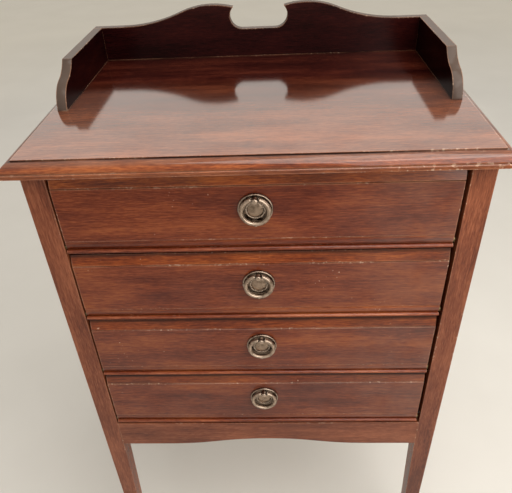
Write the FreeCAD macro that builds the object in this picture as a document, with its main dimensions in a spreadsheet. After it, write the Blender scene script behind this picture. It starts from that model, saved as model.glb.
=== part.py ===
"""Music cabinet: four fall-front drawers between tapering legs, a moulded top and a shaped gallery.

Millimetres. X runs to the right, Y to the back and Z up; the origin is the middle of the floor area.
"""

import math
import operator
import os
from types import SimpleNamespace

import FreeCAD
import Part
import Sketcher

DRAWER_COUNT = 4

# Driving dimensions, one row of the sheet each
SIZES = {
    "leg_span": 500.0,
    "carcass_depth": 340.0,
    "top_height": 800.0,
    "leg_width": 26.0,
    "foot_width": 18.5,
    # top board and the moulding of its edge
    "top_thick": 17.0,
    "front_overhang": 15.0,
    "back_overhang": 4.0,
    "mould_width": 12.3,
    "mould_step": 1.4,
    "bead_height": 4.7,
    "bead_round": 0.9,
    "bead_ledge": 1.6,
    "mould_quirk": 0.5,
    # gallery
    "gallery_thick": 12.2,
    "gallery_inset": 5.5,
    "gallery_height": 47.6,
    "crest_height": 73.4,
    "crest_place": 68.0,
    "crest_radius": 124.0,
    "sweep_end": 200.0,
    "lobe_radius": 17.8,
    "lobe_place": 24.0,
    "lobe_height": 57.3,
    "gallery_lip": 12.8,
    "gallery_reach": 203.0,
    "gallery_sweep": 54.0,
    "knee_place": 27.0,
    "knee_height": 30.2,
    "knee_bulge": 6.5,
    "knee_hollow": 2.7,
    # sides, back and frame under the top
    "panel_thick": 12.0,
    "panel_inset": 3.0,
    "tongue_thick": 6.0,
    "tongue_depth": 6.0,
    "tongue_setback": 12.0,
    "back_thick": 6.0,
    "back_rebate": 8.0,
    "rail_width": 40.0,
    "rail_thick": 14.0,
    "kicker_width": 30.0,
    # apron
    "apron_height": 50.0,
    "apron_thick": 18.0,
    "apron_rise": 12.5,
    "apron_sweep": 150.0,
    "tenon_thick": 8.0,
    "tenon_depth": 12.0,
    "tenon_shoulder": 6.0,
    # drawer fronts
    "first_nosing": 123.0,
    "pitch": 104.6,
    "drawer_gap": 4.1,
    "gap_left": 2.2,
    "gap_right": 4.6,
    "nosing_height": 5.2,
    "nosing_depth": 45.0,
    "nosing_crown": 1.5,
    "nosing_back": 0.6,
    "front_thick": 16.0,
    "strip_height": 15.7,
    "strip_lean": 4.0,
    "quirk_width": 1.4,
    "quirk_depth": 1.3,
    "strip_step": 0.2,
    "lower_round": 11.2,
    "lower_quirk": 0.8,
    "lower_inset": 1.9,
    "lower_bulge": 1.1,
    # pivots of the fall fronts
    "pivot_rise": 3.0,
    "pivot_radius": 1.5,
    "pivot_fit": 0.05,
    "pivot_reach": 8.0,
    "plate_thick": 1.2,
    "plate_half": 3.2,
    "plate_length": 46.0,
    "fall_gap": 0.2,
    "nosing_gap": 0.8,
    "landing_gap": 0.05,
    # drawer boxes, runners and stops
    "drawer_side": 9.0,
    "drawer_side_height": 88.0,
    "drawer_back_height": 80.0,
    "drawer_bottom": 5.0,
    "groove_depth": 4.5,
    "bottom_front": 0.8,
    "runner_height": 14.0,
    "runner_width": 11.0,
    "guide_height": 14.0,
    "guide_clear": 1.6,
    "stop_width": 12.0,
    "stop_height": 20.0,
    "stop_length": 16.0,
    "stop_inset": 16.0,
    "stop_rise": 30.0,
    # pulls
    "pull_height": 57.0,
    "pull_radius": 19.2,
    "rim_height": 2.2,
    "rim_width": 1.5,
    "field_height": 1.4,
    "boss_radius": 10.9,
    "boss_height": 3.4,
    "boss_lip": 1.6,
    "dish_depth": 0.9,
    "lug_radius": 3.0,
    "lug_length": 9.6,
    "lug_height": 13.8,
    "ring_stand": 6.4,
    "ring_middle": 15.4,
    "ring_width": 4.6,
    "ring_thick": 3.2,
    "ring_drop": 14.2,
    "ring_clear": 0.35,
    "ring_pin": 1.0,
    "ring_fit": 0.05,
    "bolt_radius": 2.0,
    "bolt_hole": 2.3,
    "bolt_fit": 0.05,
    "bolt_bite": 2.0,
    "bolt_head": 4.5,
    "bolt_head_thick": 2.4,
}

doc = FreeCAD.newDocument("MusicCabinet")
sheet = doc.addObject("Spreadsheet::Sheet", "Sizes")
for row, (alias, value) in enumerate(SIZES.items(), start=1):
    sheet.set(f"A{row}", alias)
    sheet.set(f"B{row}", str(value))
    sheet.setAlias(f"B{row}", alias)
doc.recompute()


class Size:
    """A length as a number, with the formula over the sheet's cells that gives it."""

    def __init__(self, number, text):
        self.number = number
        self.text = text

    def __add__(self, other):
        return combine(self, "+", other)

    def __radd__(self, other):
        return combine(other, "+", self)

    def __sub__(self, other):
        return combine(self, "-", other)

    def __rsub__(self, other):
        return combine(other, "-", self)

    def __mul__(self, other):
        return combine(self, "*", other)

    def __rmul__(self, other):
        return combine(other, "*", self)

    def __truediv__(self, other):
        return combine(self, "/", other)

    def __neg__(self):
        return combine(0, "-", self)


OPERATIONS = {"+": operator.add, "-": operator.sub, "*": operator.mul, "/": operator.truediv}


def as_size(item):
    """A plain number as a Size whose formula is that number."""
    if isinstance(item, Size):
        return item
    return Size(float(item), repr(item))


def combine(left, sign, right):
    left, right = as_size(left), as_size(right)
    number = OPERATIONS[sign](left.number, right.number)
    return Size(number, f"({left.text} {sign} {right.text})")


def root(item):
    item = as_size(item)
    return Size(math.sqrt(item.number), f"sqrt({item.text})")


def arc_sine(item):
    """The angle in degrees whose sine is given."""
    item = as_size(item)
    return Size(math.degrees(math.asin(item.number)), f"(asin({item.text}) / (1 deg))")


def bind(thing, name, item):
    """Give a property its formula."""
    thing.setExpression(name, as_size(item).text)


d = SimpleNamespace(**{alias: Size(value, f"Sizes.{alias}") for alias, value in SIZES.items()})

# Places worked out from the driving dimensions
half_span = d.leg_span / 2
leg_inner = half_span - d.leg_width
top_depth = d.front_overhang + d.carcass_depth + d.back_overhang
front_edge = -(top_depth / 2)
face = front_edge + d.front_overhang
back = face + d.carcass_depth
top_under = d.top_height - d.top_thick
top_half = half_span + d.front_overhang
panel_inner = half_span - d.panel_inset - d.panel_thick
drawer_left = d.gap_left - leg_inner
drawer_right = leg_inner - d.gap_right
drawer_middle = (drawer_left + drawer_right) / 2
drawer_rear = back - d.back_thick - d.stop_length
front_height = d.pitch - d.drawer_gap - d.nosing_height - d.nosing_gap
# the pivot stands so far behind the face that the open front lies down on the nosing
pivot_inset = d.pivot_rise + d.nosing_gap - d.landing_gap
lowest_nosing = d.top_height - d.first_nosing - (DRAWER_COUNT - 1) * d.pitch
apron_top = lowest_nosing - d.drawer_gap
apron_bottom = apron_top - d.apron_height
gallery_half = half_span - d.gallery_inset
gallery_face = back + d.back_overhang - d.gallery_thick
gallery_foot = gallery_face - d.gallery_reach
gallery_shoulder = (d.gallery_thick - d.tongue_thick) / 2


def nosing_place(number):
    """Height of the lower edge of a drawer, which is also the top of its runners."""
    return d.top_height - d.first_nosing - number * d.pitch


# Helpers for bodies and sketches
nodes = {}
cuts = []


def keep(thing, label):
    """Hand in an object as the node of this name."""
    thing.Label = label
    nodes[label] = thing
    return thing


def place(thing, x, y, z):
    for axis, item in zip("xyz", (x, y, z)):
        bind(thing, f"Placement.Base.{axis}", item)


def turn(thing, axis, degrees):
    thing.Placement = FreeCAD.Placement(FreeCAD.Vector(), FreeCAD.Rotation(axis, degrees))


def new_body(label):
    return keep(doc.addObject("PartDesign::Body", label), label)


def new_sketch(body, plane, start=0):
    """A sketch on one of the body's own origin planes, moved along the axis across that plane."""
    sketch = body.newObject("Sketcher::SketchObject", f"{body.Name}_sketch")
    support = [item for item in body.Origin.OriginFeatures if item.Role == f"{plane}_Plane"]
    sketch.AttachmentSupport = [(support[0], "")]
    sketch.MapMode = "FlatFace"
    sign = -1 if plane == "XZ" else 1
    bind(sketch, "AttachmentOffset.Base.z", sign * as_size(start))
    return sketch


def arc_through(first, via, last):
    """An arc through three points, and whether it runs from the first to the last."""
    (ax, ay), (bx, by), (cx, cy) = first, via, last
    cross = (bx - ax) * (cy - ay) - (by - ay) * (cx - ax)
    a2, b2, c2 = ax * ax + ay * ay, bx * bx + by * by, cx * cx + cy * cy
    x = (a2 * (by - cy) + b2 * (cy - ay) + c2 * (ay - by)) / (2 * cross)
    y = (a2 * (cx - bx) + b2 * (ax - cx) + c2 * (bx - ax)) / (2 * cross)
    begin, end = (first, last) if cross > 0 else (last, first)
    angles = [math.atan2(point[1] - y, point[0] - x) for point in (begin, end)]
    if angles[1] < angles[0]:
        angles[1] += 2 * math.pi
    circle = Part.Circle(FreeCAD.Vector(x, y, 0), FreeCAD.Vector(0, 0, 1), math.hypot(ax - x, ay - y))
    return Part.ArcOfCircle(circle, *angles), cross > 0


def hold(sketch, geometry, position, point):
    """Hold one point of a sketch at its two formulas."""
    for kind, item in zip(("DistanceX", "DistanceY"), point):
        item = as_size(item)
        index = sketch.addConstraint(Sketcher.Constraint(kind, -1, 1, geometry, position, item.number))
        sketch.setExpression(f"Constraints[{index}]", item.text)


def outline(sketch, steps):
    """A closed outline. A step is the end (x, y) of a line or (via x, via y, x, y) of an arc."""
    ends = [step[-2:] for step in steps]
    plain = [tuple(as_size(item).number for item in step) for step in steps]
    pieces = []
    for number, step in enumerate(plain):
        first, last = plain[number - 1][-2:], step[-2:]
        if len(step) == 2:
            line = Part.LineSegment(FreeCAD.Vector(*first, 0), FreeCAD.Vector(*last, 0))
            pieces.append((sketch.addGeometry(line, False), True))
        else:
            arc, forward = arc_through(first, step[:2], last)
            pieces.append((sketch.addGeometry(arc, False), forward))
    for number, (geometry, forward) in enumerate(pieces):
        following, follows_forward = pieces[(number + 1) % len(pieces)]
        tip, tail = (2 if forward else 1), (1 if follows_forward else 2)
        sketch.addConstraint(Sketcher.Constraint("Coincident", geometry, tip, following, tail))
        hold(sketch, geometry, tip, ends[number])
        if len(steps[number]) == 4:
            via = sketch.addGeometry(Part.Point(FreeCAD.Vector(*plain[number][:2], 0)), True)
            hold(sketch, via, 1, steps[number][:2])
            sketch.addConstraint(Sketcher.Constraint("PointOnObject", via, 1, geometry))


def bulged(first, last, bulge):
    """An arc step that stands off the straight way from first to last by this much, to its right."""
    (ax, ay), (bx, by) = [[as_size(item) for item in point] for point in (first, last)]
    run, rise = bx - ax, by - ay
    share = bulge / root(run * run + rise * rise)
    return ((ax + bx) / 2 + rise * share, (ay + by) / 2 - run * share, *last)


def fall(radius, run):
    """How far an arc that starts level has dropped after this run."""
    return radius - root(radius * radius - run * run)


def level_radius(run, drop):
    """Radius of an arc that starts level and drops this much over this run."""
    return (run * run + drop * drop) / (2 * drop)


def circle(sketch, x, y, radius):
    centre = FreeCAD.Vector(as_size(x).number, as_size(y).number, 0)
    radius = as_size(radius)
    shape = Part.Circle(centre, FreeCAD.Vector(0, 0, 1), radius.number)
    geometry = sketch.addGeometry(shape, False)
    hold(sketch, geometry, 3, (x, y))
    index = sketch.addConstraint(Sketcher.Constraint("Radius", geometry, radius.number))
    sketch.setExpression(f"Constraints[{index}]", radius.text)


def draw(body, plane, start, shape):
    """A sketch with an outline (a list of steps) or a circle (a tuple of x, y and radius)."""
    sketch = new_sketch(body, plane, start)
    if isinstance(shape, tuple):
        circle(sketch, *shape)
    else:
        outline(sketch, shape)
    return sketch


def add(body, plane, start, length, shape):
    """Pad a shape from start towards the positive end of the axis across the plane."""
    pad = body.newObject("PartDesign::Pad", f"{body.Name}_pad")
    pad.Profile = draw(body, plane, start, shape)
    bind(pad, "Length", length)
    pad.Reversed = plane == "XZ"
    return pad


def cut(body, plane, start, length, shape):
    """Pocket a shape from start towards the positive end of the axis across the plane."""
    before = body.Tip
    pocket = body.newObject("PartDesign::Pocket", f"{body.Name}_pocket")
    pocket.Profile = draw(body, plane, start, shape)
    bind(pocket, "Length", length)
    pocket.Reversed = plane != "XZ"
    cuts.append((before, pocket))
    return pocket


def revolve(body, shape, angle=360):
    """Turn a shape in the XY plane about the Y axis, half of the angle to each side."""
    turned = body.newObject("PartDesign::Revolution", f"{body.Name}_turned")
    turned.Profile = draw(body, "XY", 0, shape)
    turned.ReferenceAxis = (turned.Profile[0], ["V_Axis"])
    turned.Midplane = True
    bind(turned, "Angle", angle)
    return turned


def rectangle(x0, y0, x1, y1):
    return [(x0, y0), (x1, y0), (x1, y1), (x0, y1)]


def box(name, x0, x1, y0, y1, z0, z1):
    """A plain board between three pairs of faces."""
    board = doc.addObject("Part::Box", name)
    for side, low, high in (("Length", x0, x1), ("Width", y0, y1), ("Height", z0, z1)):
        bind(board, side, high - as_size(low))
    place(board, x0, y0, z0)
    return board


def board(label, *faces):
    return keep(box(label, *faces), label)


def board_with_cuts(label, faces, *cutters):
    """A plain board with box-shaped grooves and notches."""
    solid = box(f"{label}_blank", *faces)
    for number, cutter in enumerate(cutters):
        result = doc.addObject("Part::Cut", f"{label}_cut{number}")
        result.Base = solid
        result.Tool = box(f"{label}_cutter{number}", *cutter)
        solid = result
    return keep(solid, label)


def group(label, solids):
    """Like pieces that share one node, as separate solids."""
    compound = doc.addObject("Part::Compound", label)
    compound.Links = solids
    return keep(compound, label)


# Top board
def edge_waste(across):
    """What the moulding plane takes off an edge: across gives the place at a depth from the edge."""
    ovolo_bottom = d.bead_height + d.mould_quirk
    ovolo_top = d.top_thick - d.mould_step
    reach, rise = d.mould_width - d.bead_ledge, ovolo_top - ovolo_bottom
    slant = 1 / math.sqrt(2)
    beyond = d.mould_step
    return [
        (across(-beyond), d.bead_height - d.bead_round),
        (across(0), d.bead_height - d.bead_round),
        (
            across(d.bead_round * (1 - slant)),
            d.bead_height - d.bead_round * (1 - slant),
            across(d.bead_round),
            d.bead_height,
        ),
        (across(d.bead_ledge), d.bead_height),
        (across(d.bead_ledge), ovolo_bottom),
        (
            across(d.mould_width - reach * slant),
            ovolo_bottom + rise * slant,
            across(d.mould_width),
            ovolo_top,
        ),
        (across(d.mould_width), d.top_thick + beyond),
        (across(-beyond), d.top_thick + beyond),
    ]


def make_top():
    """Moulded on the front and both sides, in a mitre at the corners, and grooved for the gallery."""
    body = new_body("top_board")
    add(body, "XY", 0, d.top_thick, rectangle(-top_half, 0, top_half, top_depth))
    cut(body, "XZ", 0, top_depth, edge_waste(lambda depth: depth - top_half))
    cut(body, "XZ", 0, top_depth, edge_waste(lambda depth: top_half - depth))
    cut(body, "YZ", -top_half, top_half * 2, edge_waste(lambda depth: as_size(depth)))
    near, far = gallery_foot - front_edge, gallery_face - front_edge
    floor = d.top_thick - d.tongue_depth
    for outer in (-gallery_half, gallery_half - d.gallery_thick):
        left = outer + gallery_shoulder
        groove = rectangle(left, near + d.tongue_setback, left + d.tongue_thick, far)
        cut(body, "XY", floor, d.tongue_depth, groove)
    half = gallery_half - d.tongue_setback
    groove = rectangle(-half, far + gallery_shoulder, half, far + gallery_shoulder + d.tongue_thick)
    cut(body, "XY", floor, d.tongue_depth, groove)
    place(body, 0, front_edge, top_under)


# Gallery
def make_gallery_back():
    """Each half runs flat, sweeps up to a crest and drops into the notch round a lobe."""
    body = new_body("gallery_back")
    drop = d.crest_height - d.gallery_height
    run = d.sweep_end - d.crest_place
    # both arcs of the sweep are level at their ends, so they meet on the straight line between those
    radii = level_radius(run, drop) / 2
    share = d.crest_radius / (2 * radii)
    join = (d.crest_place + run * share, d.crest_height - drop * share)
    half_hollow = run * (1 - share) / 2
    hollow_rise = fall(2 * radii - d.crest_radius, half_hollow)
    hollow = (d.sweep_end - half_hollow, d.gallery_height + hollow_rise)
    crest = (d.crest_place, d.crest_height)
    lip_place = d.lobe_place + d.gallery_lip
    lip = (lip_place, d.crest_height - fall(d.crest_radius, d.crest_place - lip_place))
    lobe_side = (d.lobe_place + d.lobe_radius, d.lobe_height)
    notch_bottom = (d.lobe_place, d.lobe_height - d.lobe_radius)

    def left(point):
        return (-point[0], point[1])

    steps = [
        (-gallery_half, 0),
        (gallery_half, 0),
        (gallery_half, d.gallery_height),
        (d.sweep_end, d.gallery_height),
        (*hollow, *join),
        (*crest, *lip),
        (*lobe_side, *notch_bottom),
        left(notch_bottom),
        (*left(lobe_side), *left(lip)),
        (*left(crest), *left(join)),
        (*left(hollow), -d.sweep_end, d.gallery_height),
        (-gallery_half, d.gallery_height),
    ]
    add(body, "XZ", 0, d.gallery_thick, steps)
    half = gallery_half - d.tongue_setback
    tongue = rectangle(-half, gallery_shoulder, half, gallery_shoulder + d.tongue_thick)
    add(body, "XY", -d.tongue_depth, d.tongue_depth, tongue)
    place(body, 0, gallery_face, d.top_height)


def make_gallery_side(label, outer):
    """The front edge is an S: round and full at the foot, hollow below the top corner."""
    body = new_body(label)
    foot = (0, 0)
    knee = (d.knee_place, d.knee_height)
    corner = (d.gallery_sweep, d.gallery_height)
    steps = [
        foot,
        bulged(foot, knee, -d.knee_bulge),
        bulged(knee, corner, d.knee_hollow),
        (d.gallery_reach, d.gallery_height),
        (d.gallery_reach, 0),
    ]
    add(body, "YZ", 0, d.gallery_thick, steps)
    tongue = rectangle(gallery_shoulder, d.tongue_setback, gallery_shoulder + d.tongue_thick, d.gallery_reach)
    add(body, "XY", -d.tongue_depth, d.tongue_depth, tongue)
    place(body, outer, gallery_foot, d.top_height)


# Legs, side panels, back panel and apron
def make_leg(label, side, front):
    """A square post, tapered on its two inner faces below the apron, with its grooves and mortice."""
    body = new_body(label)
    width, foot = d.leg_width, d.foot_width
    outer = side * half_span
    inner = side * leg_inner
    lean = side * (half_span - foot)
    profile = [(outer, 0), (outer, top_under), (inner, top_under), (inner, apron_bottom), (lean, 0)]
    add(body, "XZ", 0, width, profile)
    near, far = (foot, width) if front else (width - foot, 0)
    beyond = width * 2 if front else -width
    taper = [(near, 0), (far, apron_bottom), (beyond, apron_bottom), (beyond, 0)]
    cut(body, "YZ", -half_span * 2, half_span * 4, taper)
    groove_start = width - d.tongue_depth if front else 0
    tongue = side * (half_span - d.panel_inset - d.panel_thick / 2)
    groove = rectangle(
        tongue - d.tongue_thick / 2,
        groove_start,
        tongue + d.tongue_thick / 2,
        groove_start + d.tongue_depth,
    )
    cut(body, "XY", apron_bottom, top_under - apron_bottom, groove)
    if front:
        mortice = rectangle(
            (d.apron_thick - d.tenon_thick) / 2,
            apron_bottom + d.apron_rise + d.tenon_shoulder,
            (d.apron_thick + d.tenon_thick) / 2,
            apron_top - d.tenon_shoulder,
        )
        begin = leg_inner if side > 0 else -(leg_inner + d.tenon_depth)
        cut(body, "YZ", begin, d.tenon_depth, mortice)
        place(body, 0, face, 0)
    else:
        rebate = rectangle(
            side * leg_inner,
            width - d.back_thick,
            side * (leg_inner + d.back_rebate),
            width,
        )
        cut(body, "XY", apron_bottom, top_under - apron_bottom, rebate)
        place(body, 0, back - width, 0)


def make_side_panel(label, side):
    """Seen from above: a board with a tongue at each end, inset from the outer faces of the legs."""
    body = new_body(label)
    near, far = d.leg_width, d.carcass_depth - d.leg_width
    outer = side * (half_span - d.panel_inset)
    inner = side * panel_inner
    tongue_outer = side * (half_span - d.panel_inset - (d.panel_thick - d.tongue_thick) / 2)
    tongue_inner = side * (panel_inner + (d.panel_thick - d.tongue_thick) / 2)
    steps = [
        (inner, near),
        (tongue_inner, near),
        (tongue_inner, near - d.tongue_depth),
        (tongue_outer, near - d.tongue_depth),
        (tongue_outer, near),
        (outer, near),
        (outer, far),
        (tongue_outer, far),
        (tongue_outer, far + d.tongue_depth),
        (tongue_inner, far + d.tongue_depth),
        (tongue_inner, far),
        (inner, far),
    ]
    add(body, "XY", 0, top_under - apron_bottom, steps)
    place(body, 0, face, apron_bottom)


def make_apron():
    """Straight beside the legs, then two ogee sweeps up to the middle; a tenon at each end."""
    body = new_body("apron")
    half, rise, sweep = leg_inner, d.apron_rise, d.apron_sweep
    flare = fall(level_radius(sweep / 2, rise / 2), sweep / 4)
    steps = [
        (-half, d.apron_height),
        (-half, 0),
        (-sweep, 0),
        (sweep * -3 / 4, flare, sweep / -2, rise / 2),
        (sweep / -4, rise - flare, 0, rise),
        (sweep / 4, rise - flare, sweep / 2, rise / 2),
        (sweep * 3 / 4, flare, sweep, 0),
        (half, 0),
        (half, d.apron_height),
    ]
    add(body, "XZ", 0, d.apron_thick, steps)
    tenon = rectangle(
        (d.apron_thick - d.tenon_thick) / 2,
        rise + d.tenon_shoulder,
        (d.apron_thick + d.tenon_thick) / 2,
        d.apron_height - d.tenon_shoulder,
    )
    add(body, "YZ", -(half + d.tenon_depth), d.tenon_depth, tenon)
    add(body, "YZ", half, d.tenon_depth, tenon)
    place(body, 0, face, apron_bottom)


def make_frame():
    """The flat frame of rails and kickers under the top, and the back panel."""
    under = (top_under - d.rail_thick, top_under)
    front_rail = face + d.leg_width
    back_rail = back - d.leg_width - d.rail_width
    inside = panel_inner - d.kicker_width
    board("front_top_rail", -panel_inner, panel_inner, front_rail, front_rail + d.rail_width, *under)
    board("back_top_rail", -panel_inner, panel_inner, back_rail, back_rail + d.rail_width, *under)
    kickers = [
        box(f"kicker_{name}", x0, x1, front_rail + d.rail_width, back_rail, *under)
        for name, x0, x1 in (("left", -panel_inner, -inside), ("right", inside, panel_inner))
    ]
    group("kickers", kickers)
    half = leg_inner + d.back_rebate
    board("back_panel", -half, half, back - d.back_thick, back, apron_bottom, top_under)


# Runners and stops
def make_runners():
    """L-shaped strips on the side panels: the drawer side stands on the foot, the upright guides it."""
    runners = []
    stops = []
    start = face + d.leg_width
    length = d.carcass_depth - 2 * d.leg_width
    for number in range(DRAWER_COUNT):
        top = nosing_place(number)
        for name, side, outside in (("left", -1, drawer_left), ("right", 1, drawer_right)):
            body = doc.addObject("PartDesign::Body", f"runner_{number + 1}_{name}")
            guide = outside + side * d.guide_clear
            profile = [
                (side * panel_inner, 0),
                (side * panel_inner, d.runner_height + d.guide_height),
                (guide, d.runner_height + d.guide_height),
                (guide, d.runner_height),
                (outside - side * d.runner_width, d.runner_height),
                (outside - side * d.runner_width, 0),
            ]
            add(body, "XZ", 0, length, profile)
            place(body, 0, start, top - d.runner_height)
            runners.append(body)
            stop_edge = outside - side * d.stop_inset
            low = stop_edge if side < 0 else stop_edge - d.stop_width
            plan = (low, low + d.stop_width, drawer_rear, drawer_rear + d.stop_length)
            rise = top + d.stop_rise
            stops.append(box(f"stop_{number + 1}_{name}", *plan, rise, rise + d.stop_height))
    group("drawer_runners", runners)
    group("drawer_stops", stops)


# Drawers
def make_drawer_box(name, low):
    """Two sides that lap over the nosing, a back that stands on the bottom, and the bottom in grooves."""
    front = face + d.front_thick + d.fall_gap
    rear = drawer_rear
    bottom = low + d.nosing_height
    bottom_top = bottom + d.drawer_bottom
    for side, outer, inner in (
        ("left", drawer_left, drawer_left + d.drawer_side),
        ("right", drawer_right, drawer_right - d.drawer_side),
    ):
        x0, x1 = (outer, inner) if side == "left" else (inner, outer)
        lap = (x0, x1, front, face + d.nosing_depth, low, bottom)
        if side == "left":
            groove = (x1 - d.groove_depth, x1, front, rear, bottom, bottom_top)
        else:
            groove = (x0, x0 + d.groove_depth, front, rear, bottom, bottom_top)
        faces = (x0, x1, front, rear, low, low + d.drawer_side_height)
        board_with_cuts(f"{name}_{side}_side", faces, lap, groove)
    inside_left = drawer_left + d.drawer_side
    inside_right = drawer_right - d.drawer_side
    back_faces = (inside_left, inside_right, rear - d.drawer_side, rear)
    board(f"{name}_back", *back_faces, bottom_top, low + d.drawer_back_height)
    bottom_faces = (inside_left - d.groove_depth, inside_right + d.groove_depth, front + d.bottom_front, rear)
    board(f"{name}_bottom", *bottom_faces, bottom, bottom_top)


def make_nosing(name, low):
    """The rail under the front, with a rounded bead that stands a little proud of the legs."""
    body = new_body(f"{name}_nosing")
    steps = [
        (d.nosing_depth, 0),
        (d.nosing_depth, d.nosing_height),
        (d.nosing_back, d.nosing_height),
        bulged((d.nosing_back, d.nosing_height), (d.nosing_back, 0), d.nosing_back + d.nosing_crown),
    ]
    add(body, "YZ", 0, drawer_right - drawer_left, steps)
    place(body, drawer_left, face, low)


def make_front(name, low):
    """The fall front: bevelled strip, quirk, flat panel and a lower edge rounded to clear the nosing."""
    body = new_body(f"{name}_front")
    strip = front_height - d.strip_height
    chamfer = d.front_thick - pivot_inset
    # the inner lower edge is cut back so that it turns within the thickness of the front
    heel = pivot_inset + root(chamfer * chamfer - d.pivot_rise * d.pivot_rise) - d.fall_gap
    round_top = (d.lower_quirk, d.lower_round - d.lower_quirk / 2)
    steps = [
        (heel, 0),
        (d.front_thick, d.pivot_rise),
        (d.front_thick, front_height),
        (d.strip_lean, front_height),
        (d.strip_step, strip + d.quirk_width),
        (d.quirk_depth, strip + d.quirk_width / 2),
        (0, strip),
        (0, d.lower_round),
        round_top,
        bulged(round_top, (d.lower_inset, 0), d.lower_bulge),
    ]
    width = drawer_right - drawer_left - 2 * d.fall_gap
    add(body, "YZ", 0, width, steps)
    bore = (pivot_inset, d.pivot_rise, d.pivot_radius + d.pivot_fit)
    depth = d.pivot_reach + d.fall_gap
    cut(body, "YZ", 0, depth, bore)
    cut(body, "YZ", width - depth, depth, bore)
    bottom = d.nosing_height + d.nosing_gap
    cut(body, "XZ", 0, d.front_thick, (width / 2, d.pull_height - bottom, d.bolt_hole))
    place(body, drawer_left + d.fall_gap, face, low + bottom)


def make_pivot_plates(name, low):
    """A brass strip on the outside of each drawer side, with a pin that enters the end of the front."""
    plates = []
    for side, outer in (("left", drawer_left - d.plate_thick), ("right", drawer_right)):
        body = doc.addObject("PartDesign::Body", f"{name}_pivot_{side}")
        half, clip = d.plate_half, d.plate_half / 2
        steps = [
            (d.plate_length, -half),
            (d.plate_length, half),
            (-clip, half),
            (-half, clip),
            (-half, -clip),
            (-clip, -half),
        ]
        add(body, "YZ", 0, d.plate_thick, steps)
        start = d.plate_thick if side == "left" else -d.pivot_reach
        add(body, "YZ", start, d.pivot_reach, (0, 0, d.pivot_radius))
        height = low + d.nosing_height + d.nosing_gap + d.pivot_rise
        place(body, outer, face + pivot_inset, height)
        plates.append(body)
    group(f"{name}_pivot_plates", plates)


def make_pull(name, low):
    """A turned plate with a hanger lug, the bolt behind it and the ring; local Y points to the viewer."""
    away = FreeCAD.Vector(0, 0, 1)
    centre = (drawer_middle, face, low + d.pull_height)
    plate = new_body(f"{name}_pull_plate")
    rim_inner = d.pull_radius - d.rim_width
    dish_radius, dish_floor = d.boss_radius - d.boss_lip, d.boss_height - d.dish_depth
    steps = [
        (0, 0),
        (d.pull_radius, 0),
        (d.pull_radius, d.rim_height),
        (rim_inner, d.rim_height),
        (rim_inner, d.field_height),
        (d.boss_radius, d.field_height),
        (d.boss_radius, d.boss_height),
        (dish_radius, d.boss_height),
        (dish_radius, dish_floor),
        (0, dish_floor),
    ]
    revolve(plate, steps)
    add(plate, "XZ", d.field_height / 2, d.lug_length - d.field_height / 2, (0, d.lug_height, d.lug_radius))
    bore = (d.ring_stand, d.lug_height, d.ring_pin + d.ring_fit)
    cut(plate, "YZ", -d.lug_radius, d.lug_radius * 2, bore)
    cut(plate, "XZ", 0, d.bolt_bite, (0, 0, d.bolt_radius + d.bolt_fit))
    turn(plate, away, 180)
    place(plate, *centre)

    bolt = new_body(f"{name}_pull_bolt")
    inside = -d.front_thick
    corners = [math.radians(60 * number) for number in range(6)]
    hexagon = [(d.bolt_head * math.cos(angle), d.bolt_head * math.sin(angle)) for angle in corners]
    add(bolt, "XZ", inside, d.bolt_bite - d.bolt_fit - inside, (0, 0, d.bolt_radius))
    add(bolt, "XZ", inside - d.bolt_head_thick, d.bolt_head_thick, hexagon)
    turn(bolt, away, 180)
    place(bolt, *centre)
    make_ring(name, centre)


def make_ring(name, centre):
    """Open at the top, where a pin between its two ends turns in the lug."""
    ring = new_body(f"{name}_pull_ring")
    inner = d.ring_middle - d.ring_width / 2
    outer = d.ring_middle + d.ring_width / 2
    half = d.ring_thick / 2
    half_opening = arc_sine((d.lug_radius + d.ring_clear) / inner)
    revolve(ring, rectangle(inner, -half, outer, half), 360 - 2 * half_opening)
    # the pin lies along local Z, which the turn below lays along X
    half_pin = d.lug_radius + d.ring_clear + d.ring_pin
    add(ring, "XY", -half_pin, half_pin * 2, (-d.ring_drop, 0, d.ring_pin))
    upright = FreeCAD.Rotation(FreeCAD.Vector(0, 1, 0), 90)
    facing = FreeCAD.Rotation(FreeCAD.Vector(0, 0, 1), 180)
    ring.Placement = FreeCAD.Placement(FreeCAD.Vector(), facing * upright)
    x, y, z = centre
    place(ring, x, y - d.ring_stand, z + d.lug_height - d.ring_drop)


make_top()
make_gallery_back()
make_gallery_side("gallery_left_side", -gallery_half)
make_gallery_side("gallery_right_side", gallery_half - d.gallery_thick)
make_leg("front_left_leg", -1, True)
make_leg("front_right_leg", 1, True)
make_leg("back_left_leg", -1, False)
make_leg("back_right_leg", 1, False)
make_side_panel("left_side_panel", -1)
make_side_panel("right_side_panel", 1)
make_apron()
make_frame()
make_runners()
for number in range(DRAWER_COUNT):
    drawer = f"drawer_{number + 1}"
    lower_edge = nosing_place(number)
    make_drawer_box(drawer, lower_edge)
    make_nosing(drawer, lower_edge)
    make_front(drawer, lower_edge)
    make_pivot_plates(drawer, lower_edge)
    make_pull(drawer, lower_edge)

doc.recompute()

# Nothing is written unless every object is sound and every pocket took something away
for thing in doc.Objects:
    if "Invalid" in thing.State or "Error" in thing.State:
        raise RuntimeError(f"{thing.Name} did not compute: {thing.State}")
for before, after in cuts:
    if not after.Shape.Volume < before.Shape.Volume:
        raise RuntimeError(f"{after.Name} cuts nothing")
os.makedirs("parts", exist_ok=True)
for label, thing in nodes.items():
    if thing.Shape.isNull() or not thing.Shape.isValid():
        raise RuntimeError(f"{label} has no sound shape")
    thing.Shape.exportStep(f"parts/{label}.step")
print(len(nodes), "nodes written")
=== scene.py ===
"""Looks of the music cabinet: polished wood, aged brass, small trim, soft light and the camera."""

import math

import bmesh
import bpy
from mathutils import Matrix, Vector


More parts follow.
